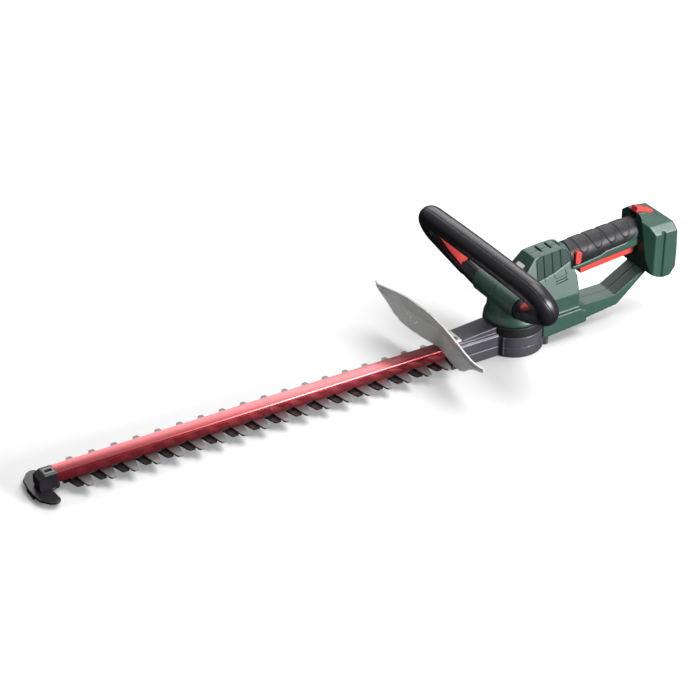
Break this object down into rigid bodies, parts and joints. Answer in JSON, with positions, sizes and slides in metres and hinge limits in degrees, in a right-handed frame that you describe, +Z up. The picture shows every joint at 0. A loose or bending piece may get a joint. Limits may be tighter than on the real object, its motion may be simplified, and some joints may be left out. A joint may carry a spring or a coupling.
{
  "type": "hedge trimmer",
  "caption": "Cordless hedge trimmer with twin reciprocating toothed blades, looped front handle, swept hand guard and a rear D handle with a slide-on battery foot.",
  "frame": {"origin": "on the crank axis, at the flat underside of the gearbox", "axes": "+X forward to the blade tip, +Y to the user's left, +Z up"},
  "size_m": [0.939, 0.2954, 0.1684],
  "materials": {
    "green_shell": "fine matt texture",
    "grip_rubber": "soft matt rubber",
    "dark_green": "matt with fine ribs",
    "badge_white": "smooth",
    "dark_screw": "black oxide",
    "anthracite_cast": "satin powder coat on a casting",
    "steel": "bright",
    "seal_rubber": "smooth",
    "smoked_plastic": "smoked, see-through",
    "black_plastic": "satin",
    "red_plastic": "satin",
    "spring_steel": "drawn wire",
    "dark_plastic": "matt",
    "contact_brass": "bright",
    "board_green": "lacquered",
    "motor_steel": "zinc plated",
    "magnet": "dark ferrite",
    "laminated_core": "laminated steel and copper",
    "gear_steel": "ground",
    "blade_steel": "ground and laser cut",
    "dark_blade": "darkened",
    "red_bar": "red anodised",
    "bolt_steel": "zinc plated"
  },
  "bodies": {
    "body": {"housing_left": "green_shell", "housing_right": "green_shell", "soft_grip": "grip_rubber", "vent_panel_left": "dark_green", "vent_panel_right": "dark_green", "badge_plate": "badge_white", "housing_screws": "dark_screw", "gearbox_housing": "anthracite_cast", "gearbox_cover": "anthracite_cast", "gearbox_screws": "steel", "gearbox_seal": "seal_rubber", "hand_guard": "smoked_plastic", "guard_screws": "steel", "front_handle_front": "black_plastic", "front_handle_rear": "black_plastic", "front_handle_screws": "dark_screw", "switch_bar_springs": "spring_steel", "front_switch": "dark_plastic", "trigger_pin": "steel", "trigger_spring": "spring_steel", "trigger_switch": "dark_plastic", "lock_spring": "spring_steel", "release_spring": "spring_steel", "battery_rails": "black_plastic", "terminal_block": "dark_plastic", "battery_contacts": "contact_brass", "control_board": "board_green", "motor_can": "motor_steel", "motor_magnets": "magnet", "motor_end_cap": "dark_plastic", "motor_plate": "motor_steel", "motor_bearings": "steel", "crank_upper_bearing": "steel", "crank_lower_bearing": "steel", "blade_bar": "red_bar", "blade_bolts": "bolt_steel", "guide_bushes": "gear_steel", "tip_cap": "black_plastic", "tip_guard": "black_plastic", "tip_insert": "steel", "tip_screw": "steel"},
    "upper_blade": {"upper_blade": "blade_steel"},
    "lower_blade": {"lower_blade": "dark_blade"},
    "crank": {"drive_gear": "gear_steel", "crankshaft": "gear_steel"},
    "rotor": {"motor_rotor": "laminated_core", "motor_shaft": "steel", "motor_fan": "dark_plastic", "motor_pinion": "steel"},
    "trigger": {"rear_trigger": "red_plastic"},
    "switch_bar": {"front_switch_bar": "red_plastic"},
    "lock": {"lock_button": "red_plastic"},
    "release": {"release_button": "red_plastic"}
  },
  "joints": [
    {"name": "upper_blade_slide", "type": "slide", "parent": "body", "child": "upper_blade", "axis": [1, 0, 0], "range_m": [-0.0025, 0.0125]},
    {"name": "lower_blade_slide", "type": "slide", "parent": "body", "child": "lower_blade", "axis": [1, 0, 0], "range_m": [-0.0125, 0.0025]},
    {"name": "crank_spin", "type": "hinge", "parent": "body", "child": "crank", "pos_m": [0, 0, 0.02], "axis": [0, 0, 1], "continuous": true},
    {"name": "motor_spin", "type": "hinge", "parent": "body", "child": "rotor", "pos_m": [-0.03, 0, 0.07], "axis": [0, 0, 1], "continuous": true},
    {"name": "rear_trigger_swing", "type": "hinge", "parent": "body", "child": "trigger", "pos_m": [-0.106, 0, 0.096], "axis": [0, 1, 0], "range_deg": [0, 5], "stiffness_Nm_per_rad": 2, "springref_deg": -5.73, "deforming": ["trigger_spring"]},
    {"name": "front_switch_press", "type": "slide", "parent": "body", "child": "switch_bar", "axis": [0.454, 0, 0.891], "range_m": [0, 0.003], "stiffness_N_per_m": 800, "springref_m": -0.003, "deforming": ["switch_bar_springs"]},
    {"name": "lock_press", "type": "slide", "parent": "body", "child": "lock", "axis": [0, -1, 0], "range_m": [0, 0.003], "stiffness_N_per_m": 500, "springref_m": -0.002, "deforming": ["lock_spring"]},
    {"name": "release_press", "type": "slide", "parent": "body", "child": "release", "axis": [0.3746, 0, -0.9272], "range_m": [0, 0.003], "stiffness_N_per_m": 500, "springref_m": -0.002, "deforming": ["release_spring"]}
  ],
  "couplings": [
    {"joint": "lower_blade_slide", "follows": "upper_blade_slide", "ratio": -1},
    {"joint": "motor_spin", "follows": "crank_spin", "ratio": -5}
  ]
}
